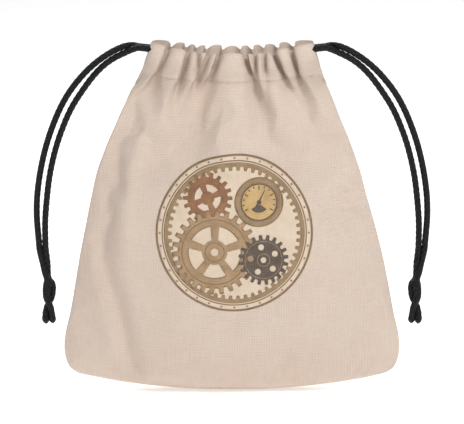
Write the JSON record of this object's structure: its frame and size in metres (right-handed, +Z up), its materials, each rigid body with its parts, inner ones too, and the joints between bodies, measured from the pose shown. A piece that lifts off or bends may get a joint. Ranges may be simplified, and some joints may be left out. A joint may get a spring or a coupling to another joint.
{
  "type": "drawstring dice bag",
  "caption": "Cotton canvas pouch for dice, closed at the mouth by two cords that run through a stitched casing and leave it on opposite sides, each ending in a knot.",
  "frame": {"origin": "on the ground under the middle of the standing bag", "axes": "+Z up towards the mouth, -Y out of the printed front, +X towards the right cord seen from the front"},
  "size_m": [0.1736, 0.0403, 0.1556],
  "materials": {
    "canvas": "matt cotton canvas",
    "seam_thread": "matt",
    "print_ink": "matt",
    "cord": "satin braid",
    "cord_tip": "melted"
  },
  "bodies": {
    "bag": {"front_panel": "canvas", "back_panel": "canvas", "left_side_seam": "canvas", "right_side_seam": "canvas", "bottom_seam": "canvas", "left_seam_thread": "seam_thread", "right_seam_thread": "seam_thread", "bottom_seam_thread": "seam_thread", "printed_emblem": "print_ink", "front_casing": "canvas", "back_casing": "canvas", "front_casing_stitch": "seam_thread", "back_casing_stitch": "seam_thread"},
    "left_hem": {"left_front_hem": "canvas", "left_back_hem": "canvas", "left_bar_tack": "seam_thread"},
    "left_loop": {"left_cord_loop": "cord"},
    "left_upper": {"left_cord_neck": "cord"},
    "left_lower": {"left_cord_drop": "cord"},
    "left_knot_end": {"left_knot": "cord", "left_cord_tails": "cord", "left_cord_seals": "cord_tip"},
    "right_hem": {"right_front_hem": "canvas", "right_back_hem": "canvas", "right_bar_tack": "seam_thread"},
    "right_loop": {"right_cord_loop": "cord"},
    "right_upper": {"right_cord_neck": "cord"},
    "right_lower": {"right_cord_drop": "cord"},
    "right_knot_end": {"right_knot": "cord", "right_cord_tails": "cord", "right_cord_seals": "cord_tip"}
  },
  "joints": [
    {"name": "left_gather", "type": "slide", "parent": "bag", "child": "left_hem", "axis": [1, 0, 0], "range_m": [-0.018, 0.014]},
    {"name": "left_loop_draw", "type": "slide", "parent": "left_hem", "child": "left_loop", "axis": [-1, 0, 0], "range_m": [-0.036, 0.028]},
    {"name": "left_cord_lift", "type": "hinge", "parent": "left_hem", "child": "left_upper", "pos_m": [-0.037, 0, 0.152], "axis": [0, 1, 0], "range_deg": [0, 60]},
    {"name": "left_cord_draw", "type": "slide", "parent": "left_upper", "child": "left_lower", "axis": [-0.6429, 0, -0.7659], "range_m": [-0.036, 0.028]},
    {"name": "left_knot_swing", "type": "hinge", "parent": "left_lower", "child": "left_knot_end", "pos_m": [-0.0832, 0, 0.0582], "axis": [1, 0, 0], "range_deg": [-70, 70]},
    {"name": "right_gather", "type": "slide", "parent": "bag", "child": "right_hem", "axis": [-1, 0, 0], "range_m": [-0.018, 0.014]},
    {"name": "right_loop_draw", "type": "slide", "parent": "right_hem", "child": "right_loop", "axis": [1, 0, 0], "range_m": [-0.036, 0.028]},
    {"name": "right_cord_lift", "type": "hinge", "parent": "right_hem", "child": "right_upper", "pos_m": [0.037, 0, 0.152], "axis": [0, -1, 0], "range_deg": [0, 60]},
    {"name": "right_cord_draw", "type": "slide", "parent": "right_upper", "child": "right_lower", "axis": [0.6429, 0, -0.7659], "range_m": [-0.036, 0.028]},
    {"name": "right_knot_swing", "type": "hinge", "parent": "right_lower", "child": "right_knot_end", "pos_m": [0.0832, 0, 0.0582], "axis": [1, 0, 0], "range_deg": [-70, 70]}
  ],
  "couplings": [
    {"joint": "right_gather", "follows": "left_gather", "ratio": 1},
    {"joint": "left_loop_draw", "follows": "left_gather", "ratio": 2},
    {"joint": "left_cord_draw", "follows": "left_gather", "ratio": 2},
    {"joint": "right_loop_draw", "follows": "left_gather", "ratio": 2},
    {"joint": "right_cord_draw", "follows": "left_gather", "ratio": 2}
  ]
}
